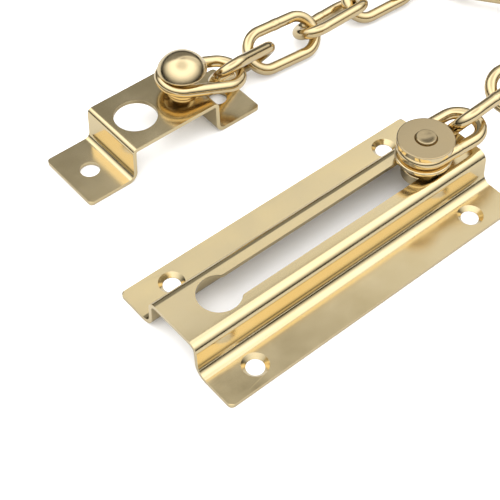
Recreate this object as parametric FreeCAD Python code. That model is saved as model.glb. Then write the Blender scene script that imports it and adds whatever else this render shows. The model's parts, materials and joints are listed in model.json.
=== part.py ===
import FreeCAD, Part
import math
import os

os.makedirs("parts", exist_ok=True)

Vector = FreeCAD.Vector
X_AXIS = Vector(1, 0, 0)
Y_AXIS = Vector(0, 1, 0)
Z_AXIS = Vector(0, 0, 1)

# Sheet metal shared by the track plate and the keeper bracket
SHEET = 1.2
EDGE_BREAK = 0.3

# Track plate: a hat section running along X, back face on z = 0
TRACK_LENGTH = 104.0
TRACK_WIDTH = 46.2
TRACK_HEIGHT = 11.3
TRACK_WEB_TOP = 9.7
TRACK_WEB_FOOT = 10.3
TRACK_BEND_OUTER = 3.0
TRACK_BEND_FOOT = 3.0
TRACK_CORNER = 1.3
SCREW_SPACING_X = 78.6
SCREW_SPACING_Y = 34.5
SCREW_HOLE_R = 2.5
SCREW_SINK_R = 3.7
SCREW_LAND = 0.4
KEYHOLE_X = -36.8
KEYHOLE_R = 6.07
SLOT_HALF = 4.2
SLOT_SHOULDER_R = 1.0

# Slider: a stepped stud with two discs and a bush, standing in the slot
SLIDER_X = 36.2
HEAD_R = 5.75
HEAD_BOTTOM = 6.4
HEAD_TOP = 9.9
NECK_R = 4.1
SHANK_R = 2.58
DISC_BORE_R = 2.6
DISC_R = 8.1
LOWER_DISC_BOTTOM = 13.1
LOWER_DISC_TOP = 14.4
TOP_DISC_BOTTOM = 18.45
TOP_DISC_TOP = 20.2
BUSH_R = 4.1
PEEN_R = 3.0
PEEN_TOP = 20.9
PEEN_DISH = 0.35
DISC_EDGE_R = 0.45

# Chain link: round wire bent to a long oval with a weld at mid length
WIRE_R = 1.8
LINK_HALF_STRAIGHT = 6.4
LINK_CROWN_R = 6.0
WELD_R = 1.95
WELD_HALF = 0.9
LINK_GAP = 0.4
FIRST_LINK_Z = 16.4

# Keeper bracket: a bridge along X with two feet
BRACKET_X = -8.4
BRACKET_Y = 65.4
BRACKET_LENGTH = 62.4
BRACKET_WIDTH = 22.3
BRACKET_HEIGHT = 11.9
BRACKET_WEB_TOP = 15.5
BRACKET_WEB_FOOT = 15.9
BRACKET_BEND_OUTER = 1.7
BRACKET_BEND_FOOT = 2.0
BRACKET_CORNER = 1.2
FOOT_HOLE_OFFSET = 23.6
FOOT_HOLE_R = 2.95
PARKING_HOLE_OFFSET = -6.3
PARKING_HOLE_R = 6.4
RIVET_OFFSET = 11.1

# Anchor rivet and its collar
RIVET_SHOULDER_R = 3.2
RIVET_TAIL_R = 1.9
RIVET_HOLE_R = 1.95
RIVET_BASE = 19.6
DOME_R = 7.25
DOME_HEIGHT = 4.6
DOME_RIM = 0.6
TAIL_HEAD_R = 2.65
TAIL_HEAD_HEIGHT = 1.0
COLLAR_R = 4.8
COLLAR_BORE_R = 3.25
COLLAR_HEIGHT = 1.2

# How the chain lies: heading, pitch and lean in degrees, then slack and lift in mm
CHAIN_LIE = [
    (-4, 1.5, 0, 0.0, 0.0),
    (2.5, 0, -59, 4.0, 1.6),
    (-6.5, 3, 32, 3.0, -0.5),
    (22, -3, -67, 1.0, 1.5),
    (53, -18, 13, 1.0, -1.0),
    (85, -10, 94, 3.5, -1.0),
    (116.5, -7, -20, 2.5, 0.0),
    (147, 0, 54, 1.5, 0.2),
    (175, -3, -43, 1.5, 0.0),
    (181, 0, 32, 0.0, 0.0),
    (175.5, 1, -45, 0.5, 0.5),
    (195, 18, 55, 1.5, -1.0),
    (163, 11, 0, 3.0, 0.5),
]


def rounded_section(points, radii, extrude_by, plane_offset):
    """Extrude a closed outline and round the long edges that pass through chosen corners."""
    outline = Part.makePolygon([point + plane_offset for point in points + points[:1]])
    solid = Part.Face(outline).extrude(extrude_by)
    for radius, corner in radii:
        middle = corner + plane_offset + extrude_by * 0.5
        edges = [edge for edge in solid.Edges if passes_through(edge, middle)]
        solid = solid.makeFillet(radius, edges)
    return solid


def passes_through(edge, point):
    return edge.distToShape(Part.Vertex(point))[0] < 1e-4


def hat_section(half_width, height, web_top, web_foot, to_space):
    """Corner points of a hat profile, listed round the sheet, in (across, up)."""
    across_up = [
        (-half_width, 0),
        (-half_width, SHEET),
        (-web_foot, SHEET),
        (-web_top, height),
        (web_top, height),
        (web_foot, SHEET),
        (half_width, SHEET),
        (half_width, 0),
        (web_foot - SHEET, 0),
        (web_top - SHEET, height - SHEET),
        (SHEET - web_top, height - SHEET),
        (SHEET - web_foot, 0),
    ]
    return [to_space(across, up) for across, up in across_up]


def hat_radii(web_top, web_foot, height, bend_outer, bend_foot, to_space):
    """Bend radii of the hat profile, each with the corner it belongs to."""
    radii = []
    for side in (-1, 1):
        radii.append((bend_outer, to_space(side * web_top, height)))
        radii.append((bend_outer - SHEET, to_space(side * (web_top - SHEET), height - SHEET)))
        radii.append((bend_foot, to_space(side * web_foot, SHEET)))
        radii.append((bend_foot + SHEET, to_space(side * (web_foot - SHEET), 0)))
    return radii


def round_corners(solid, half_x, half_y, centre, radius):
    """Round the four upright corner edges of a plate in plan."""
    edges = []
    for side_x in (-1, 1):
        for side_y in (-1, 1):
            point = centre + Vector(side_x * half_x, side_y * half_y, SHEET * 0.5)
            edges += [edge for edge in solid.Edges if passes_through(edge, point)]
    return solid.makeFillet(radius, edges)


def break_upper_edges(solid, test, radius):
    """Round every edge whose middle passes the test."""
    edges = []
    for edge in solid.Edges:
        middle = edge.valueAt((edge.FirstParameter + edge.LastParameter) * 0.5)
        if test(edge, middle):
            edges.append(edge)
    return solid.makeFillet(radius, edges)


def upright_hole(x, y, radius, bottom, top):
    return Part.makeCylinder(radius, top - bottom, Vector(x, y, bottom), Z_AXIS)


def countersunk_hole(x, y):
    """A through hole with a shallow cone opening at the top of the sheet."""
    land = upright_hole(x, y, SCREW_HOLE_R, -1, SCREW_LAND)
    cone = Part.makeCone(SCREW_HOLE_R, SCREW_SINK_R, SHEET - SCREW_LAND, Vector(x, y, SCREW_LAND), Z_AXIS)
    mouth = upright_hole(x, y, SCREW_SINK_R, SHEET, SHEET + 1)
    return land.fuse([cone, mouth])


def keyhole_slot():
    """Round entry hole and the parallel slot that leads to the slider's rest."""
    bottom = TRACK_HEIGHT - SHEET - 1
    height = SHEET + 2
    entry = Part.makeCylinder(KEYHOLE_R, height, Vector(KEYHOLE_X, 0, bottom), Z_AXIS)
    run = Part.makeBox(SLIDER_X - KEYHOLE_X, 2 * SLOT_HALF, height, Vector(KEYHOLE_X, -SLOT_HALF, bottom))
    end = Part.makeCylinder(SLOT_HALF, height, Vector(SLIDER_X, 0, bottom), Z_AXIS)
    return entry.fuse([run, end]).removeSplitter()


def make_track_plate():
    def to_space(across, up):
        return Vector(-TRACK_LENGTH * 0.5, across, up)

    half_y = TRACK_WIDTH * 0.5
    points = hat_section(half_y, TRACK_HEIGHT, TRACK_WEB_TOP, TRACK_WEB_FOOT, to_space)
    radii = hat_radii(
        TRACK_WEB_TOP, TRACK_WEB_FOOT, TRACK_HEIGHT, TRACK_BEND_OUTER, TRACK_BEND_FOOT, to_space
    )
    plate = rounded_section(points, radii, X_AXIS * TRACK_LENGTH, Vector(0, 0, 0))
    plate = round_corners(plate, TRACK_LENGTH * 0.5, half_y, Vector(0, 0, 0), TRACK_CORNER)
    plate = plate.cut(keyhole_slot())
    shoulder_x = KEYHOLE_X + math.sqrt(KEYHOLE_R ** 2 - SLOT_HALF ** 2)
    shoulders = [
        edge
        for side in (-1, 1)
        for edge in plate.Edges
        if passes_through(edge, Vector(shoulder_x, side * SLOT_HALF, TRACK_HEIGHT - SHEET * 0.5))
    ]
    plate = plate.makeFillet(SLOT_SHOULDER_R, shoulders)

    def on_rim(edge, middle):
        on_end = abs(abs(middle.x) - TRACK_LENGTH * 0.5) < 0.7
        on_side = abs(abs(middle.y) - half_y) < 0.7
        return abs(middle.z - SHEET) < 1e-4 and (on_end or on_side)

    plate = break_upper_edges(plate, on_rim, EDGE_BREAK)
    for side_x in (-1, 1):
        for side_y in (-1, 1):
            screw_x = side_x * SCREW_SPACING_X * 0.5
            screw_y = side_y * SCREW_SPACING_Y * 0.5
            plate = plate.cut(countersunk_hole(screw_x, screw_y))
    return plate


def revolve_profile(points, axis_x, axis_y):
    """Turn an (out, up) outline into a solid about an upright axis."""
    wire = Part.makePolygon([Vector(out + axis_x, axis_y, up) for out, up in points + points[:1]])
    return Part.Face(wire).revolve(Vector(axis_x, axis_y, 0), Z_AXIS, 360)


def make_slider_stud():
    outline = [
        (0, HEAD_BOTTOM),
        (HEAD_R - EDGE_BREAK, HEAD_BOTTOM),
        (HEAD_R, HEAD_BOTTOM + EDGE_BREAK),
        (HEAD_R, HEAD_TOP),
        (NECK_R, HEAD_TOP),
        (NECK_R, LOWER_DISC_BOTTOM),
        (SHANK_R, LOWER_DISC_BOTTOM),
        (SHANK_R, TOP_DISC_TOP),
        (PEEN_R, TOP_DISC_TOP),
        (PEEN_R - EDGE_BREAK, PEEN_TOP - EDGE_BREAK),
        (PEEN_R * 0.7, PEEN_TOP),
        (PEEN_R * 0.4, PEEN_TOP - PEEN_DISH * 0.6),
        (0, PEEN_TOP - PEEN_DISH),
    ]
    return revolve_profile(outline, SLIDER_X, 0)


def make_washer(outer, bore, bottom, top, axis_x, axis_y, edge_radius):
    """A ring with its outer rims rounded."""
    disc = Part.makeCylinder(outer, top - bottom, Vector(axis_x, axis_y, bottom), Z_AXIS)
    if edge_radius > 0:
        disc = disc.makeFillet(edge_radius, [edge for edge in disc.Edges if edge.Closed])
    return disc.cut(upright_hole(axis_x, axis_y, bore, bottom - 1, top + 1))


def make_link(centre, along, across):
    """One welded oval link, laid at its centre with given long and cross directions."""
    crown_centre = Vector(LINK_HALF_STRAIGHT, 0, 0)
    crown_a = Part.makeTorus(LINK_CROWN_R, WIRE_R, crown_centre, Z_AXIS, -180, 180, 180)
    crown_a.rotate(crown_centre, Z_AXIS, -90)
    crown_b = crown_a.copy()
    crown_b.rotate(Vector(0, 0, 0), Z_AXIS, 180)
    sides = []
    for side in (-1, 1):
        origin = Vector(-LINK_HALF_STRAIGHT, side * LINK_CROWN_R, 0)
        sides.append(Part.makeCylinder(WIRE_R, 2 * LINK_HALF_STRAIGHT, origin, X_AXIS))
    weld = Part.makeCylinder(WELD_R, 2 * WELD_HALF, Vector(-WELD_HALF, -LINK_CROWN_R, 0), X_AXIS)
    weld = weld.makeFillet(WELD_R - WIRE_R, [edge for edge in weld.Edges if edge.Closed])
    link = crown_a.fuse([crown_b, weld] + sides).removeSplitter()
    link.Placement = FreeCAD.Placement(
        centre, FreeCAD.Rotation(along, across, along.cross(across), "XYZ")
    )
    return link


def link_directions(heading, pitch, lean):
    """Long and cross directions of a link from its three angles in degrees."""
    h, p, r = (math.radians(angle) for angle in (heading, pitch, lean))
    along = Vector(math.cos(p) * math.cos(h), math.cos(p) * math.sin(h), math.sin(p))
    level = Vector(-math.sin(h), math.cos(h), 0)
    across = level * math.cos(r) + along.cross(level) * math.sin(r)
    return along, across


def square_to(direction, normal):
    """Unit vector of a direction with its part along a normal taken out."""
    flat = direction - normal * direction.dot(normal)
    return flat / flat.Length


def chain_poses():
    """Centre, long and cross direction of each link, every link hooked into the one before."""
    heading, pitch, lean, slack, lift = CHAIN_LIE[0]
    along, across = link_directions(heading, pitch, lean)
    poses = [(Vector(SLIDER_X, 0, FIRST_LINK_Z) + along * LINK_HALF_STRAIGHT, along, across)]
    for index, (heading, pitch, lean, slack, lift) in enumerate(CHAIN_LIE[1:], start=1):
        last_centre, last_along, last_across = poses[-1]
        along, across = link_directions(heading, pitch, lean)
        crown = last_centre + last_along * LINK_HALF_STRAIGHT
        step = 2 * WIRE_R + LINK_GAP + slack
        if index % 2 == 1:
            pull = square_to(along, last_along.cross(last_across))
            centre = crown + pull * (LINK_CROWN_R - step)
            centre += along * (LINK_HALF_STRAIGHT + LINK_CROWN_R)
        else:
            pull = square_to(last_along, along.cross(across))
            centre = crown + last_along * LINK_CROWN_R
            centre += pull * (LINK_CROWN_R - step) + along * LINK_HALF_STRAIGHT
        poses.append((centre + Z_AXIS * lift, along, across))
    return poses


def make_keeper_bracket():
    def to_space(across, up):
        return Vector(BRACKET_X + across, 0, up)

    half_x = BRACKET_LENGTH * 0.5
    half_y = BRACKET_WIDTH * 0.5
    near = Vector(0, BRACKET_Y - half_y, 0)
    points = hat_section(half_x, BRACKET_HEIGHT, BRACKET_WEB_TOP, BRACKET_WEB_FOOT, to_space)
    radii = hat_radii(
        BRACKET_WEB_TOP, BRACKET_WEB_FOOT, BRACKET_HEIGHT, BRACKET_BEND_OUTER, BRACKET_BEND_FOOT, to_space
    )
    bracket = rounded_section(points, radii, Y_AXIS * BRACKET_WIDTH, near)
    middle = Vector(BRACKET_X, BRACKET_Y, 0)
    bracket = round_corners(bracket, half_x, half_y, middle, BRACKET_CORNER)
    for side in (-1, 1):
        foot_hole = upright_hole(BRACKET_X + side * FOOT_HOLE_OFFSET, BRACKET_Y, FOOT_HOLE_R, -1, SHEET + 1)
        bracket = bracket.cut(foot_hole)
    under = BRACKET_HEIGHT - SHEET - 1
    over = BRACKET_HEIGHT + 1
    parking = upright_hole(BRACKET_X + PARKING_HOLE_OFFSET, BRACKET_Y, PARKING_HOLE_R, under, over)
    rivet_hole = upright_hole(BRACKET_X + RIVET_OFFSET, BRACKET_Y, RIVET_HOLE_R, under, over)

    def on_rim(edge, middle):
        on_foot = abs(middle.z - SHEET) < 1e-4 and abs(edge.Length - 2 * math.pi * FOOT_HOLE_R) > 1e-3
        on_end = abs(abs(middle.x - BRACKET_X) - half_x) < 0.5
        on_side = abs(abs(middle.y - BRACKET_Y) - half_y) < 0.5
        return on_foot and (on_end or on_side)

    bracket = bracket.cut(parking.fuse(rivet_hole))
    return break_upper_edges(bracket, on_rim, EDGE_BREAK)


def make_anchor_rivet(axis_x, axis_y):
    """Domed head, shoulder that the last link turns on, and a tail set under the bracket."""
    tail_top = BRACKET_HEIGHT - SHEET
    ball_r = (DOME_R ** 2 + DOME_HEIGHT ** 2) / (2 * DOME_HEIGHT)
    rim_top = RIVET_BASE + DOME_RIM
    dome = Part.makeSphere(ball_r, Vector(axis_x, axis_y, rim_top + DOME_HEIGHT - ball_r))
    dome = dome.common(upright_hole(axis_x, axis_y, DOME_R, rim_top, rim_top + DOME_HEIGHT + 1))
    rim = upright_hole(axis_x, axis_y, DOME_R, RIVET_BASE, rim_top)
    shoulder = upright_hole(axis_x, axis_y, RIVET_SHOULDER_R, BRACKET_HEIGHT, RIVET_BASE)
    tail = upright_hole(axis_x, axis_y, RIVET_TAIL_R, tail_top, BRACKET_HEIGHT)
    tail_head = upright_hole(axis_x, axis_y, TAIL_HEAD_R, tail_top - TAIL_HEAD_HEIGHT, tail_top)
    tail_head = tail_head.makeFillet(EDGE_BREAK, [tail_head.Edges[2]])
    return dome.fuse([rim, shoulder, tail, tail_head]).removeSplitter()


def export(shape, node):
    shape.exportStep("parts/" + node + ".step")
    print(node, "volume", round(shape.Volume, 2), "valid", shape.isValid(), "solids", len(shape.Solids))


def build():
    export(make_track_plate(), "track_plate")
    export(make_slider_stud(), "slider_stud")
    lower = make_washer(
        DISC_R, DISC_BORE_R, LOWER_DISC_BOTTOM, LOWER_DISC_TOP, SLIDER_X, 0, DISC_EDGE_R
    )
    export(lower, "slider_lower_disc")
    bush = make_washer(BUSH_R, DISC_BORE_R, LOWER_DISC_TOP, TOP_DISC_BOTTOM, SLIDER_X, 0, 0)
    export(bush, "slider_bush")
    top = make_washer(DISC_R, DISC_BORE_R, TOP_DISC_BOTTOM, TOP_DISC_TOP, SLIDER_X, 0, DISC_EDGE_R)
    export(top, "slider_top_disc")
    poses = chain_poses()
    for number, (centre, along, across) in enumerate(poses, start=1):
        export(make_link(centre, along, across), "chain_link_%02d" % number)
    export(make_keeper_bracket(), "keeper_bracket")
    rivet_x = BRACKET_X + RIVET_OFFSET
    export(make_anchor_rivet(rivet_x, BRACKET_Y), "anchor_rivet")
    collar_top = BRACKET_HEIGHT + COLLAR_HEIGHT
    collar = make_washer(
        COLLAR_R, COLLAR_BORE_R, BRACKET_HEIGHT, collar_top, rivet_x, BRACKET_Y, EDGE_BREAK
    )
    export(collar, "rivet_collar")


build()
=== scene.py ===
import json
import math

import bmesh
import bpy
from mathutils import Matrix, Vector


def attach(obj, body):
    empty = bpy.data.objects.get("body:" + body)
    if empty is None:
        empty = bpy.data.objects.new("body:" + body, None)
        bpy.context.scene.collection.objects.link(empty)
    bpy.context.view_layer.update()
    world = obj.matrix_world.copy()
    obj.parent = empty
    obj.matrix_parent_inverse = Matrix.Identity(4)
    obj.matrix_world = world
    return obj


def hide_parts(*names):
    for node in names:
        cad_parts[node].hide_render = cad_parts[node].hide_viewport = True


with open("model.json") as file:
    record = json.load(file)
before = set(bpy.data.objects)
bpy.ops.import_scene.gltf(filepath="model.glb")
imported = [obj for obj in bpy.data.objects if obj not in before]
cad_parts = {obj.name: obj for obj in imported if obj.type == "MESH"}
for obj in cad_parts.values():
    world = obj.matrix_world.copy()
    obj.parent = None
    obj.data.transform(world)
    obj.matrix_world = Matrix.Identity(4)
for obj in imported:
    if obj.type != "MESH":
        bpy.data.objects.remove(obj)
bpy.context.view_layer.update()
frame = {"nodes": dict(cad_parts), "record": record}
mm = 0.001
mergeGap = 0.0005  # millimetres


# Shapes shared by several pieces

# Points along an open path whose inner corners are rounded; corners are (a, b, radius)
def roundedPath(corners, arcSteps):
    points = [Vector(corners[0][:2])]
    for before, corner, after in zip(corners, corners[1:], corners[2:]):
        here = Vector(corner[:2])
        radius = corner[2]
        toBefore = (Vector(before[:2]) - here).normalized()
        toAfter = (Vector(after[:2]) - here).normalized()
        if radius <= 0:
            points.append(here)
            continue
        halfAngle = toBefore.angle(toAfter) / 2
        reach = radius / math.tan(halfAngle)
        middle = here + (toBefore + toAfter).normalized() * (radius / math.sin(halfAngle))
        start = here + toBefore * reach - middle
        end = here + toAfter * reach - middle
        sweep = start.angle(end)
        for step in range(arcSteps + 1):
            share = step / arcSteps
            spoke = start * math.sin((1 - share) * sweep) + end * math.sin(share * sweep)
            points.append(middle + spoke / math.sin(sweep))
    points.append(Vector(corners[-1][:2]))
    return points


# Finish a bmesh in millimetres as a smooth piece that rides with a CAD body
def pieceFromMesh(bm, name, body, material, replacedNodes):
    bmesh.ops.remove_doubles(bm, verts=bm.verts, dist=mergeGap)
    bmesh.ops.recalc_face_normals(bm, faces=bm.faces)
    for vert in bm.verts:
        vert.co *= mm
    for face in bm.faces:
        face.smooth = True
    mesh = bpy.data.meshes.new(name)
    bm.to_mesh(mesh)
    bm.free()
    mesh.materials.append(material)
    piece = bpy.data.objects.new(name, mesh)
    bpy.context.scene.collection.objects.link(piece)
    weighted = piece.modifiers.new("faceWeights", "WEIGHTED_NORMAL")
    weighted.weight = 80
    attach(piece, body)
    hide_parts(*replacedNodes)
    return piece


# Turn an (out, up) profile in millimetres a full circle about an upright axis
def spunSolid(bm, profile, centreX, centreY, steps):
    verts = [bm.verts.new((centreX + out, centreY, up)) for out, up in profile]
    edges = [bm.edges.new(pair) for pair in zip(verts, verts[1:])]
    bmesh.ops.spin(
        bm, geom=verts + edges, cent=(centreX, centreY, 0), axis=(0, 0, 1),
        angle=math.tau, steps=steps, use_merge=True,
    )
    bmesh.ops.remove_doubles(bm, verts=bm.verts, dist=mergeGap)


# Node groups

# An empty shader node group with named sockets and its two end nodes
def newGroup(name, inputs, outputs):
    group = bpy.data.node_groups.new(name, "ShaderNodeTree")
    for socketName, socketType, value in inputs:
        socket = group.interface.new_socket(socketName, in_out="INPUT", socket_type=socketType)
        if value is not None:
            socket.default_value = value
    for socketName, socketType in outputs:
        group.interface.new_socket(socketName, in_out="OUTPUT", socket_type=socketType)
    return group, group.nodes.new("NodeGroupInput"), group.nodes.new("NodeGroupOutput")


# Fine stretched polishing lines and broad uneven gloss, in Object coordinates
def makeGrainGroup():
    group, start, end = newGroup(
        "plateGrain",
        [
            ("Vector", "NodeSocketVector", None),
            ("Lines", "NodeSocketVector", (60.0, 2500.0, 2500.0)),
            ("Patches", "NodeSocketFloat", 60.0),
        ],
        [("Lines", "NodeSocketFloat"), ("Patches", "NodeSocketFloat")],
    )
    links = group.links
    stretch = group.nodes.new("ShaderNodeVectorMath")
    stretch.operation = "MULTIPLY"
    links.new(start.outputs["Vector"], stretch.inputs[0])
    links.new(start.outputs["Lines"], stretch.inputs[1])
    lines = group.nodes.new("ShaderNodeTexNoise")
    lines.inputs["Scale"].default_value = 1.0
    lines.inputs["Detail"].default_value = 3.0
    links.new(stretch.outputs[0], lines.inputs["Vector"])
    patches = group.nodes.new("ShaderNodeTexNoise")
    patches.inputs["Detail"].default_value = 4.0
    patches.inputs["Roughness"].default_value = 0.6
    links.new(start.outputs["Vector"], patches.inputs["Vector"])
    links.new(start.outputs["Patches"], patches.inputs["Scale"])
    links.new(lines.outputs["Fac"], end.inputs["Lines"])
    links.new(patches.outputs["Fac"], end.inputs["Patches"])
    return group


# One above a height in Object coordinates, zero below it
def makeTopGroup():
    group, start, end = newGroup(
        "topMask",
        [("Vector", "NodeSocketVector", None), ("Height", "NodeSocketFloat", 0.02)],
        [("Mask", "NodeSocketFloat")],
    )
    axes = group.nodes.new("ShaderNodeSeparateXYZ")
    above = group.nodes.new("ShaderNodeMath")
    above.operation = "GREATER_THAN"
    group.links.new(start.outputs["Vector"], axes.inputs[0])
    group.links.new(axes.outputs["Z"], above.inputs[0])
    group.links.new(start.outputs["Height"], above.inputs[1])
    group.links.new(above.outputs[0], end.inputs["Mask"])
    return group


# A plated metal whose tone, gloss and polishing lines vary over the surface
def makePlatedMetal(name, look):
    material = bpy.data.materials.new(name)
    material.use_nodes = True
    tree = material.node_tree
    shader = tree.nodes["Principled BSDF"]
    shader.inputs["Metallic"].default_value = 1.0
    place = tree.nodes.new("ShaderNodeTexCoord")
    grain = tree.nodes.new("ShaderNodeGroup")
    grain.node_tree = grainGroup
    grain.inputs["Lines"].default_value = look["lines"]
    grain.inputs["Patches"].default_value = look["patches"]
    tree.links.new(place.outputs["Object"], grain.inputs["Vector"])
    tone = tree.nodes.new("ShaderNodeMix")
    tone.data_type = "RGBA"
    tone.inputs[6].default_value = (*look["deepTone"], 1)
    tone.inputs[7].default_value = (*look["paleTone"], 1)
    tree.links.new(grain.outputs["Patches"], tone.inputs[0])
    tree.links.new(tone.outputs[2], shader.inputs["Base Color"])
    gloss = tree.nodes.new("ShaderNodeMapRange")
    gloss.inputs["From Min"].default_value = 0.3
    gloss.inputs["From Max"].default_value = 0.7
    gloss.inputs["To Min"].default_value = look["roughness"][0]
    gloss.inputs["To Max"].default_value = look["roughness"][1]
    tree.links.new(grain.outputs["Patches"], gloss.inputs["Value"])
    tree.links.new(gloss.outputs["Result"], shader.inputs["Roughness"])
    if "top" in look:
        addTopPaintedShade(tree, shader, place, tone, gloss, look["top"])
    bump = tree.nodes.new("ShaderNodeBump")
    bump.inputs["Strength"].default_value = look["bump"]
    bump.inputs["Distance"].default_value = bumpDepth
    tree.links.new(grain.outputs["Lines"], bump.inputs["Height"])
    tree.links.new(bump.outputs["Normal"], shader.inputs["Normal"])
    return material


# Surfaces above a height get a painted shade, a deeper tone that stands for their dimmer reflection, and are
# duller
def addTopPaintedShade(tree, shader, place, tone, gloss, top):
    mask = tree.nodes.new("ShaderNodeGroup")
    mask.node_tree = topGroup
    mask.inputs["Height"].default_value = top["height"]
    tree.links.new(place.outputs["Object"], mask.inputs["Vector"])
    # Painted shade: the tone is multiplied by the tint on faces above the height
    deeper = tree.nodes.new("ShaderNodeMix")
    deeper.data_type = "RGBA"
    deeper.blend_type = "MULTIPLY"
    deeper.inputs[7].default_value = (*top["tint"], 1)
    tree.links.new(mask.outputs["Mask"], deeper.inputs[0])
    tree.links.new(tone.outputs[2], deeper.inputs[6])
    tree.links.new(deeper.outputs[2], shader.inputs["Base Color"])
    duller = tree.nodes.new("ShaderNodeMath")
    duller.operation = "MULTIPLY_ADD"
    duller.inputs[1].default_value = top["dulling"]
    tree.links.new(mask.outputs["Mask"], duller.inputs[0])
    tree.links.new(gloss.outputs["Result"], duller.inputs[2])
    tree.links.new(duller.outputs[0], shader.inputs["Roughness"])


grainGroup = makeGrainGroup()
topGroup = makeTopGroup()
bumpDepth = 0.02 * mm

sheetLook = {
    "deepTone": (0.65, 0.51, 0.26),
    "paleTone": (0.76, 0.64, 0.41),
    "roughness": (0.12, 0.21),
    "lines": (60.0, 2500.0, 2500.0),
    "patches": 55.0,
    "bump": 0.2,
}
wireLook = {
    "deepTone": (0.60, 0.46, 0.24),
    "paleTone": (0.75, 0.61, 0.37),
    "roughness": (0.09, 0.17),
    "lines": (900.0, 900.0, 900.0),
    "patches": 140.0,
    "bump": 0.18,
}
turnedLook = {
    "deepTone": (0.68, 0.54, 0.31),
    "paleTone": (0.80, 0.67, 0.43),
    "roughness": (0.08, 0.14),
    "lines": (700.0, 700.0, 700.0),
    "patches": 120.0,
    "bump": 0.10,
    # Faces above this height get a painted shade (the darker tint) and a duller gloss
    "top": {"height": 0.02005, "tint": (0.64, 0.62, 0.59), "dulling": 0.08},
}
domeLook = {
    "deepTone": (0.60, 0.47, 0.26),
    "paleTone": (0.74, 0.61, 0.38),
    "roughness": (0.13, 0.24),
    "lines": (700.0, 700.0, 700.0),
    "patches": 260.0,
    "bump": 0.12,
}
sheetMetal = makePlatedMetal("satinPlate", sheetLook)
wireMetal = makePlatedMetal("chainWire", wireLook)
turnedMetal = makePlatedMetal("turnedParts", turnedLook)
domeMetal = makePlatedMetal("rivetDome", domeLook)
metalForSlot = {"satin_plate": sheetMetal, "chain_wire": wireMetal, "polished_parts": turnedMetal}
slotForNode = {part["node"]: part["material_slot"] for part in frame["record"]["subparts"]}
for node, cadObject in frame["nodes"].items():
    cadObject.data.materials.clear()
    cadObject.data.materials.append(metalForSlot[slotForNode[node]])
print("materials made")


# Chain links: a circle of wire swept round each crown and along each side; sizes in millimetres

link = {
    "wireR": 1.8,
    "halfStraight": 6.4,
    "crownR": 6.0,
    "gap": 0.4,
    "ringSteps": 28,
    "crownSteps": 22,
    "weldStops": (-1.9, -1.4, -1.0, -0.7, -0.35, 0.0, 0.35, 0.7, 1.0, 1.4, 1.9),
    "weldHalf": 1.5,
    "weldSwell": 0.055,
    "weldSwellStep": 0.012,
    "weldCrease": 0.6,
    "weldCreaseWidth": 0.3,
    "firstZ": 16.4,
}

# Heading, pitch and lean in degrees, then slack and lift in millimetres
chainLie = [
    (-4, 1.5, 0, 0.0, 0.0),
    (2.5, 0, -59, 4.0, 1.6),
    (-6.5, 3, 32, 3.0, -0.5),
    (22, -3, -67, 1.0, 1.5),
    (53, -18, 13, 1.0, -1.0),
    (85, -10, 94, 3.5, -1.0),
    (116.5, -7, -20, 2.5, 0.0),
    (147, 0, 54, 1.5, 0.2),
    (175, -3, -43, 1.5, 0.0),
    (181, 0, 32, 0.0, 0.0),
    (175.5, 1, -45, 0.5, 0.5),
    (195, 18, 55, 1.5, -1.0),
    (163, 11, 0, 3.0, 0.5),
]

slider = {
    "x": 36.2,
    "headR": 5.75,
    "headBottom": 6.4,
    "headTop": 9.9,
    "neckR": 4.1,
    "shankR": 2.58,
    "boreR": 2.6,
    "discR": 8.1,
    "lowerDisc": (13.1, 14.4),
    "topDisc": (18.45, 20.2),
    "peenR": 3.0,
    "peenTop": 20.85,
}


# Long and cross direction of a link from its three angles in degrees
def linkDirections(heading, pitch, lean):
    h, p, r = (math.radians(angle) for angle in (heading, pitch, lean))
    along = Vector((math.cos(p) * math.cos(h), math.cos(p) * math.sin(h), math.sin(p)))
    level = Vector((-math.sin(h), math.cos(h), 0))
    return along, level * math.cos(r) + along.cross(level) * math.sin(r)


def squareTo(direction, normal):
    return (direction - normal * direction.dot(normal)).normalized()


# Centre, long and cross direction of every link, each hooked into the one before
def chainPlaces():
    heading, pitch, lean, slack, lift = chainLie[0]
    along, across = linkDirections(heading, pitch, lean)
    places = [(Vector((slider["x"], 0, link["firstZ"])) + along * link["halfStraight"], along, across)]
    for index, (heading, pitch, lean, slack, lift) in enumerate(chainLie[1:], start=1):
        lastCentre, lastAlong, lastAcross = places[-1]
        along, across = linkDirections(heading, pitch, lean)
        crown = lastCentre + lastAlong * link["halfStraight"]
        step = 2 * link["wireR"] + link["gap"] + slack
        if index % 2 == 1:
            pull = squareTo(along, lastAlong.cross(lastAcross))
            centre = crown + pull * (link["crownR"] - step)
            centre += along * (link["halfStraight"] + link["crownR"])
        else:
            pull = squareTo(lastAlong, along.cross(across))
            centre = crown + lastAlong * link["crownR"]
            centre += pull * (link["crownR"] - step) + along * link["halfStraight"]
        places.append((centre + Vector((0, 0, lift)), along, across))
    return places


# Sweep a ring of edges half a turn about one crown and return the ring it ends in
def sweepCrown(bm, ringEdges, crownX):
    ringVerts = list(dict.fromkeys(vert for edge in ringEdges for vert in edge.verts))
    turned = bmesh.ops.spin(
        bm, geom=ringEdges + ringVerts, cent=(crownX, 0, 0), axis=(0, 0, 1),
        angle=math.pi, steps=link["crownSteps"],
    )
    return [item for item in turned["geom_last"] if isinstance(item, bmesh.types.BMEdge)]


# Draw a ring of edges out along one side, ring by ring, and return the last ring
def sweepSide(bm, ringEdges, fromX, stops):
    place = fromX
    for stop in stops:
        pushed = bmesh.ops.extrude_edge_only(bm, edges=ringEdges)["geom"]
        newVerts = [item for item in pushed if isinstance(item, bmesh.types.BMVert)]
        bmesh.ops.translate(bm, verts=newVerts, vec=(stop - place, 0, 0))
        newEdges = [item for item in pushed if isinstance(item, bmesh.types.BMEdge)]
        ringEdges = [edge for edge in newEdges if all(vert in newVerts for vert in edge.verts)]
        place = stop
    return ringEdges


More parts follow.
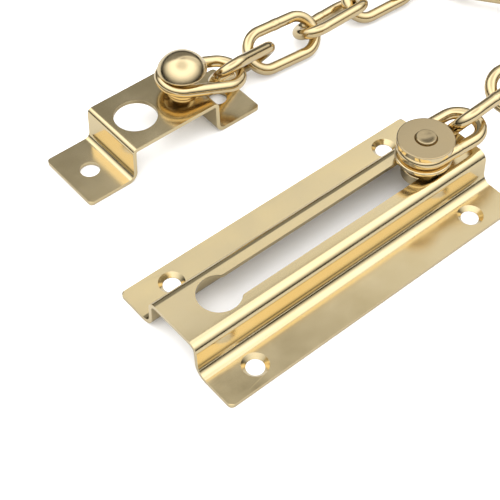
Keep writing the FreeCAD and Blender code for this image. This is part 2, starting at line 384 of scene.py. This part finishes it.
# Swell the wire a little at its weld, with a pinched line round the middle
def swellWeld(bm, number):
    swell = link["weldSwell"] + link["weldSwellStep"] * (number % 3)
    for vert in bm.verts:
        near = abs(vert.co.x) / link["weldHalf"]
        onWeldSide = vert.co.y < -link["crownR"] + link["wireR"] + 0.7
        if onWeldSide and near < 1:
            ripple = 0.5 + 0.5 * math.cos(math.pi * near)
            crease = link["weldCrease"] * math.exp(-((vert.co.x / link["weldCreaseWidth"]) ** 2))
            outward = Vector((0, vert.co.y + link["crownR"], vert.co.z))
            vert.co += outward * swell * (ripple - crease)


# One oval link with its weld in the middle of one side
def makeLink(number, centre, along, across):
    bm = bmesh.new()
    crownX = link["halfStraight"]
    upright = Matrix.Rotation(math.pi / 2, 4, "Y")
    ring = bmesh.ops.create_circle(
        bm, cap_ends=False, segments=link["ringSteps"], radius=link["wireR"],
        matrix=Matrix.Translation((crownX, -link["crownR"], 0)) @ upright,
    )
    edges = list(dict.fromkeys(edge for vert in ring["verts"] for edge in vert.link_edges))
    edges = sweepCrown(bm, edges, crownX)
    edges = sweepSide(bm, edges, crownX, [-crownX])
    edges = sweepCrown(bm, edges, -crownX)
    sweepSide(bm, edges, -crownX, [*link["weldStops"], crownX])
    bmesh.ops.remove_doubles(bm, verts=bm.verts, dist=2 * mergeGap)
    swellWeld(bm, number)
    turn = Matrix((along, across, along.cross(across))).transposed().to_4x4()
    bm.transform(Matrix.Translation(centre) @ turn)
    node = "chain_link_%02d" % number
    body = "link_%02d" % number
    return pieceFromMesh(bm, body + "_wire", body, wireMetal, [node])


for number, place in enumerate(chainPlaces(), start=1):
    makeLink(number, *place)
print("chain made")


# Slider: stud, two discs and a bush on one upright axis

turning = {"arcSteps": 5, "spinSteps": 96}


# A turned piece; its (out, up, rounding) corners start and end on the axis or on its own bore
def makeTurned(name, body, corners, centreX, centreY, replacedNodes, material):
    bm = bmesh.new()
    profile = [(point.x, point.y) for point in roundedPath(corners, turning["arcSteps"])]
    spunSolid(bm, profile, centreX, centreY, turning["spinSteps"])
    return pieceFromMesh(bm, name, body, material, replacedNodes)


# A ring with a plain bore between two heights, with its outer rims rounded
def ringProfile(bore, outer, heights, lowerRound, upperRound):
    bottom, top = heights
    return [
        (bore, bottom, 0), (outer, bottom, lowerRound), (outer, top, upperRound),
        (bore, top, 0), (bore, bottom, 0),
    ]


lowerBottom, lowerTop = slider["lowerDisc"]
topBottom, topTop = slider["topDisc"]
studProfile = [
    (0, slider["headBottom"], 0), (slider["headR"], slider["headBottom"], 0.5),
    (slider["headR"], slider["headTop"], 0.4), (slider["neckR"], slider["headTop"], 0),
    (slider["neckR"], lowerBottom, 0), (slider["shankR"], lowerBottom, 0),
    (slider["shankR"], topTop - 0.1, 0), (slider["peenR"], topTop - 0.05, 0),
    (slider["peenR"] - 0.15, slider["peenTop"], 0.35), (1.9, slider["peenTop"] - 0.1, 1.5),
    (0, slider["peenTop"] - 0.35, 0),
]
topDiscProfile = [
    (slider["boreR"], topBottom, 0), (slider["discR"], topBottom, 0.35), (slider["discR"], topTop, 0.35),
    (slider["peenR"] + 0.25, topTop, 0.1), (slider["peenR"] + 0.1, topTop - 0.15, 0),
    (slider["boreR"], topTop - 0.15, 0), (slider["boreR"], topBottom, 0),
]
lowerDiscProfile = ringProfile(slider["boreR"], slider["discR"], slider["lowerDisc"], 0.4, 0.4)
bushProfile = ringProfile(slider["boreR"], slider["neckR"], (lowerTop, topBottom), 0, 0)
for name, profile, node in (
    ("slider_stud_turned", studProfile, "slider_stud"),
    ("slider_lower_turned", lowerDiscProfile, "slider_lower_disc"),
    ("slider_bush_turned", bushProfile, "slider_bush"),
    ("slider_top_turned", topDiscProfile, "slider_top_disc"),
):
    makeTurned(name, "slider", profile, slider["x"], 0, [node], turnedMetal)


# Anchor rivet: domed head, shoulder for the last link, and a tail set under the bracket

rivet = {
    "x": 2.7,
    "y": 65.4,
    "shoulderR": 3.2,
    "tailR": 1.9,
    "tailHeadR": 2.65,
    "tailBottom": 9.7,
    "tailTop": 10.7,
    "seat": 11.9,
    "headBottom": 19.6,
    "domeR": 7.25,
    "domeHeight": 4.6,
    "domeTop": 24.8,
    "domeSteps": 14,
    "collarR": 4.8,
    "collarBore": 3.25,
    "collarTop": 13.1,
}


# Points of the domed head, from its rim to its top
def domePoints():
    ballR = (rivet["domeR"] ** 2 + rivet["domeHeight"] ** 2) / (2 * rivet["domeHeight"])
    points = []
    for step in range(rivet["domeSteps"]):
        out = rivet["domeR"] * math.sin(math.pi / 2 * (1 - step / rivet["domeSteps"]))
        points.append((out, rivet["domeTop"] - ballR + math.sqrt(ballR ** 2 - out ** 2), 0))
    return points + [(0, rivet["domeTop"], 0)]


rivetProfile = [
    (0, rivet["tailBottom"], 0), (rivet["tailHeadR"], rivet["tailBottom"], 0.3),
    (rivet["tailHeadR"], rivet["tailTop"], 0), (rivet["tailR"], rivet["tailTop"], 0),
    (rivet["tailR"], rivet["seat"], 0), (rivet["shoulderR"], rivet["seat"], 0),
    (rivet["shoulderR"], rivet["headBottom"], 0.2), (rivet["domeR"], rivet["headBottom"], 0.3),
] + domePoints()
collarProfile = [
    (rivet["collarBore"], rivet["seat"], 0), (rivet["collarR"], rivet["seat"], 0.2),
    (rivet["collarR"], rivet["collarTop"], 0.3), (rivet["collarBore"], rivet["collarTop"], 0.1),
    (rivet["collarBore"], rivet["seat"], 0),
]
for name, profile, node, metal in (
    ("anchor_rivet_turned", rivetProfile, "anchor_rivet", domeMetal),
    ("rivet_collar_turned", collarProfile, "rivet_collar", turnedMetal),
):
    makeTurned(name, "keeper", profile, rivet["x"], rivet["y"], [node], metal)
print("turned parts made")


# Pressed sheets: a hat profile run along one axis, with holes in its flats; sizes in millimetres

holeSteps = 64
cutEdgeRound = 0.28
sharpAngle = math.radians(30)
tiny = 1e-6


# A round hole in the plan of a flat, and the span it takes across the sheet
def roundHole(run, across, radius):
    outline = []
    for step in range(holeSteps):
        angle = math.tau * step / holeSteps
        outline.append((run + radius * math.cos(angle), across + radius * math.sin(angle)))
    return outline, across - radius, across + radius


# Points on an arc, first and last included
def arcPoints(centreX, centreY, radius, startAngle, sweep, steps):
    points = []
    for step in range(steps + 1):
        angle = startAngle + sweep * step / steps
        points.append((centreX + radius * math.cos(angle), centreY + radius * math.sin(angle)))
    return points


# The slot with its round entry hole, joined by small rounded shoulders
def keyholeOutline(keyhole):
    half, shoulder, entryR = keyhole["half"], keyhole["shoulder"], keyhole["entryR"]
    neck = math.sqrt((entryR + shoulder) ** 2 - (half + shoulder) ** 2)
    touch = math.atan2(half + shoulder, neck)
    slotEnd = arcPoints(keyhole["endX"], 0, half, math.pi / 2, -math.pi, 24)
    lower = arcPoints(
        keyhole["entryX"] + neck, -half - shoulder, shoulder, math.pi / 2, math.pi / 2 - touch, 6
    )
    entry = arcPoints(keyhole["entryX"], 0, entryR, -touch, 2 * touch - math.tau, 48)[1:-1]
    upper = [(x, -y) for x, y in reversed(lower)]
    return slotEnd + lower + entry + upper, -entryR, entryR


# Border of a flat strip, with rounded corners where the strip is the sheet's own edge
def flatBorder(halfRun, low, high, half, corner):
    border = []
    for run, across, start in (
        (-halfRun, low, math.pi), (halfRun, low, 1.5 * math.pi),
        (halfRun, high, 0), (-halfRun, high, 0.5 * math.pi),
    ):
        if abs(abs(across) - half) > tiny:
            border.append((run, across))
            continue
        centre = (run - math.copysign(corner, run), across - math.copysign(corner, across))
        for step in range(9):
            angle = start + math.pi / 2 * step / 8
            border.append((centre[0] + corner * math.cos(angle), centre[1] + corner * math.sin(angle)))
    return border


# A flat with holes, filled between its border and its hole outlines
def fillFlat(bm, corners, holes, height, place):
    edges = []
    for outline in [corners] + holes:
        verts = [bm.verts.new(place(run, across, height)) for run, across in outline]
        edges += [bm.edges.new(pair) for pair in zip(verts, verts[1:] + verts[:1])]
    bmesh.ops.triangle_fill(bm, use_beauty=True, use_dissolve=False, edges=edges)


# Upper skin of the profile, thickened downward
def makeHatSheet(sheet, place):
    bm = bmesh.new()
    halfRun = sheet["run"] / 2
    half = sheet["half"]
    corners = [
        (-half, sheet["thick"], 0), (-sheet["webFoot"], sheet["thick"], sheet["bendFoot"]),
        (-sheet["webTop"], sheet["height"], sheet["bendTop"]),
        (sheet["webTop"], sheet["height"], sheet["bendTop"]),
        (sheet["webFoot"], sheet["thick"], sheet["bendFoot"]), (half, sheet["thick"], 0),
    ]
    path = roundedPath(corners, 10)
    for first, second in zip(path, path[1:]):
        flat = abs(first.y - second.y) < tiny
        holes = [
            outline for outline, low, high in sheet["holes"]
            if flat and first.x < low and high < second.x
        ]
        border = flatBorder(halfRun, first.x, second.x, half, sheet["corner"])
        if flat:
            fillFlat(bm, border, holes, first.y, place)
        else:
            verts = [
                bm.verts.new(place(run, point.x, point.y))
                for run, point in ((-halfRun, first), (halfRun, first), (halfRun, second), (-halfRun, second))
            ]
            bm.faces.new(verts)
    bmesh.ops.remove_doubles(bm, verts=bm.verts, dist=2 * mergeGap)
    bmesh.ops.recalc_face_normals(bm, faces=bm.faces)
    if sum(face.normal.z * face.calc_area() for face in bm.faces) < 0:
        bmesh.ops.reverse_faces(bm, faces=bm.faces)
    bmesh.ops.solidify(bm, geom=bm.faces[:], thickness=sheet["thick"])
    return bm


# Round every cut edge of the finished sheet
def roundCutEdges(bm):
    bmesh.ops.recalc_face_normals(bm, faces=bm.faces)
    sharp = [
        edge for edge in bm.edges
        if len(edge.link_faces) == 2 and edge.calc_face_angle(0) > sharpAngle
    ]
    bmesh.ops.bevel(
        bm, geom=sharp, offset=cutEdgeRound, offset_type="OFFSET", segments=3, profile=0.5,
        affect="EDGES", clamp_overlap=True, material=-1,
    )


track = {
    "run": 104.0,
    "half": 23.1,
    "height": 11.3,
    "thick": 1.2,
    "webTop": 9.7,
    "webFoot": 10.3,
    "bendTop": 3.0,
    "bendFoot": 3.0,
    "corner": 1.3,
    "screwX": 39.3,
    "screwY": 17.25,
    "sinkR": 3.7,
    "holeR": 2.5,
    "keyhole": {"entryX": -36.8, "entryR": 6.07, "endX": 36.2, "half": 4.2, "shoulder": 1.0},
}


def trackPlace(run, across, height):
    return Vector((run, across, height))


# Draw the back rim of each screw hole in, which leaves a cone for the screw head
def sinkScrewHoles(bm):
    for vert in bm.verts:
        offset = Vector((abs(vert.co.x) - track["screwX"], abs(vert.co.y) - track["screwY"]))
        atHole = offset.length < track["sinkR"] + 0.1
        if atHole and vert.co.z < track["thick"] / 2:
            goal = offset.normalized() * track["holeR"]
            vert.co.x = math.copysign(track["screwX"] + goal.x, vert.co.x)
            vert.co.y = math.copysign(track["screwY"] + goal.y, vert.co.y)


track["holes"] = [keyholeOutline(track["keyhole"])]
for sideX in (-1, 1):
    for sideY in (-1, 1):
        hole = roundHole(sideX * track["screwX"], sideY * track["screwY"], track["sinkR"])
        track["holes"].append(hole)
bm = makeHatSheet(track, trackPlace)
sinkScrewHoles(bm)
roundCutEdges(bm)
pieceFromMesh(bm, "track_sheet", "track", sheetMetal, ["track_plate"])

bracket = {
    "run": 22.3,
    "half": 31.2,
    "height": 11.9,
    "thick": 1.2,
    "webTop": 15.5,
    "webFoot": 15.9,
    "bendTop": 1.7,
    "bendFoot": 2.0,
    "corner": 1.2,
    "x": -8.4,
    "y": 65.4,
    "parking": (-6.3, 6.4),  # place along the bracket, then radius
    "rivetHole": (11.1, 1.95),
    "feet": ((-23.6, 2.95), (23.6, 2.95)),
}


def bracketPlace(run, across, height):
    return Vector((bracket["x"] + across, bracket["y"] + run, height))


bracket["holes"] = [
    roundHole(0, across, radius)
    for across, radius in (bracket["parking"], bracket["rivetHole"], *bracket["feet"])
]
bm = makeHatSheet(bracket, bracketPlace)
roundCutEdges(bm)
pieceFromMesh(bm, "keeper_sheet", "keeper", sheetMetal, ["keeper_bracket"])
print("sheets made")


# Floor, light and camera

floorLook = {
    "size": 8,
    "drop": 0.0002,  # metres under the lowest face
    "tones": ((0.93, 0.93, 0.93), (0.95, 0.95, 0.95)),
    "toneInGloss": (0.5, 0.5, 0.5),
    "patches": 3.0,
}


# A pale matt floor, which shows darker in the metal's reflections than to the eye
def makeFloor():
    bpy.ops.mesh.primitive_plane_add(size=floorLook["size"], location=(0, 0, -floorLook["drop"]))
    floor = bpy.context.object
    floor.name = "floor"
    material = bpy.data.materials.new("paleFloor")
    material.use_nodes = True
    tree = material.node_tree
    shader = tree.nodes["Principled BSDF"]
    shader.inputs["Roughness"].default_value = 0.9
    shader.inputs["Specular IOR Level"].default_value = 0.1
    place = tree.nodes.new("ShaderNodeTexCoord")
    noise = tree.nodes.new("ShaderNodeTexNoise")
    noise.inputs["Scale"].default_value = floorLook["patches"]
    tone = tree.nodes.new("ShaderNodeMix")
    tone.data_type = "RGBA"
    tone.inputs[6].default_value = (*floorLook["tones"][0], 1)
    tone.inputs[7].default_value = (*floorLook["tones"][1], 1)
    rays = tree.nodes.new("ShaderNodeLightPath")
    seen = tree.nodes.new("ShaderNodeMix")
    seen.data_type = "RGBA"
    seen.inputs[7].default_value = (*floorLook["toneInGloss"], 1)
    tree.links.new(place.outputs["Object"], noise.inputs["Vector"])
    tree.links.new(noise.outputs["Fac"], tone.inputs[0])
    tree.links.new(rays.outputs["Is Glossy Ray"], seen.inputs[0])
    tree.links.new(tone.outputs[2], seen.inputs[6])
    tree.links.new(seen.outputs[2], shader.inputs["Base Color"])
    floor.data.materials.append(material)


makeFloor()

studio = {
    "stripAcross": (-0.030, -0.834, 0.551),
    "stripRise": (-0.11, -0.03),
    "stripFade": (0.0, 0.09),
    "stripAlong": (0.909, -0.252, -0.331),
    "alongFade": (-0.10, 0.17),
    "farWay": (0.645, 0.764, 0.0),
    "farFade": (0.40, 0.56),
    "farSide": 0.29,
    "stripTop": 1.25,
    "stripEnds": (0.24, 0.95),
    "nearSide": (0.25, 2.0),
    "nearRise": (0.15, 0.85),
    "overhead": 1.2,
    "overheadRise": (0.86, 1.0),
    "band": 0.02,
    "fill": 2.0,
    "bandTop": (0.08, 0.36),
}


# A bright studio surround, dim on the far side and dark in a low band above the floor
def makeWorld():
    world = bpy.data.worlds.new("studio")
    bpy.context.scene.world = world
    world.use_nodes = True
    tree = world.node_tree
    back = tree.nodes["Background"]
    place = tree.nodes.new("ShaderNodeTexCoord")

    def dotWith(direction):
        node = tree.nodes.new("ShaderNodeVectorMath")
        node.operation = "DOT_PRODUCT"
        node.inputs[1].default_value = direction
        tree.links.new(place.outputs["Generated"], node.inputs[0])
        return node.outputs["Value"]

    def ramp(value, low, high, start, end):
        node = tree.nodes.new("ShaderNodeMapRange")
        node.interpolation_type = "SMOOTHSTEP"
        for key, number in (("From Min", low), ("From Max", high), ("To Min", start), ("To Max", end)):
            node.inputs[key].default_value = number
        tree.links.new(value, node.inputs["Value"])
        return node.outputs["Result"]

    def blend(share, first, second):
        node = tree.nodes.new("ShaderNodeMix")
        tree.links.new(share, node.inputs[0])
        for socket, value in ((node.inputs[2], first), (node.inputs[3], second)):
            if isinstance(value, float):
                socket.default_value = value
            else:
                tree.links.new(value, socket)
        return node.outputs[0]

    across = dotWith(studio["stripAcross"])
    rise = ramp(across, *studio["stripRise"], 0.0, 1.0)
    along = ramp(dotWith(studio["stripAlong"]), *studio["alongFade"], *studio["stripEnds"])
    strip = blend(ramp(across, *studio["stripFade"], 0.0, 1.0), studio["stripTop"], along)
    sideTone = blend(rise, studio["farSide"], strip)
    farSide = ramp(dotWith(studio["farWay"]), *studio["farFade"], 0.0, 1.0)
    height = dotWith((0.0, 0.0, 1.0))
    nearTone = ramp(height, *studio["nearRise"], *studio["nearSide"])
    surround = blend(farSide, nearTone, sideTone)
    overhead = ramp(height, *studio["overheadRise"], 0.0, 1.0)
    surround = blend(overhead, surround, studio["overhead"])
    lifted = ramp(height, *studio["bandTop"], 0.0, 1.0)
    whole = blend(lifted, studio["band"], surround)
    rays = tree.nodes.new("ShaderNodeLightPath")
    lit = blend(rays.outputs["Is Diffuse Ray"], whole, studio["fill"])
    seen = blend(rays.outputs["Is Camera Ray"], lit, 1.0)
    tree.links.new(seen, back.inputs["Strength"])
    back.inputs["Color"].default_value = (1, 1, 1, 1)


makeWorld()


topLight = {
    "place": Vector((-0.25, -0.1, 0.9)),
    "target": Vector((0.02, 0.03, 0)),
    "size": 0.5,
    "power": 2.0,
}


# One soft square lamp overhead, left out of the metal's reflections
def addTopLight():
    data = bpy.data.lights.new("topLight", "AREA")
    data.shape = "RECTANGLE"
    data.size = topLight["size"]
    data.size_y = topLight["size"]
    data.energy = topLight["power"]
    lamp = bpy.data.objects.new("topLight", data)
    bpy.context.scene.collection.objects.link(lamp)
    lamp.visible_glossy = False
    lamp.location = topLight["place"]
    lamp.rotation_mode = "QUATERNION"
    lamp.rotation_quaternion = (topLight["target"] - topLight["place"]).to_track_quat("-Z", "Y")


addTopLight()
print("floor and light made")

camera = {
    "target": Vector((-15.475, 13.228, 0)) * mm,
    "distance": 325.73 * mm,
    "azimuth": -40.15,
    "elevation": 49.96,
    "roll": 0.19,
    "lens": 85.72,
    "sensor": 36.0,
    "nearest": 0.01,
    "farthest": 20.0,
}
cameraData = bpy.data.cameras.new("camera")
cameraData.lens = camera["lens"]
cameraData.sensor_width = camera["sensor"]
cameraData.clip_start = camera["nearest"]
cameraData.clip_end = camera["farthest"]
cameraObject = bpy.data.objects.new("camera", cameraData)
bpy.context.scene.collection.objects.link(cameraObject)
azimuth = math.radians(camera["azimuth"])
elevation = math.radians(camera["elevation"])
backward = Vector((
    math.sin(azimuth) * math.cos(elevation), -math.cos(azimuth) * math.cos(elevation), math.sin(elevation)
))
cameraObject.location = camera["target"] + backward * camera["distance"]
cameraObject.rotation_mode = "QUATERNION"
rollTurn = Matrix.Rotation(math.radians(camera["roll"]), 3, "Z").to_quaternion()
cameraObject.rotation_quaternion = (-backward).to_track_quat("-Z", "Y") @ rollTurn
bpy.context.scene.camera = cameraObject
bpy.context.scene.view_settings.view_transform = "Standard"
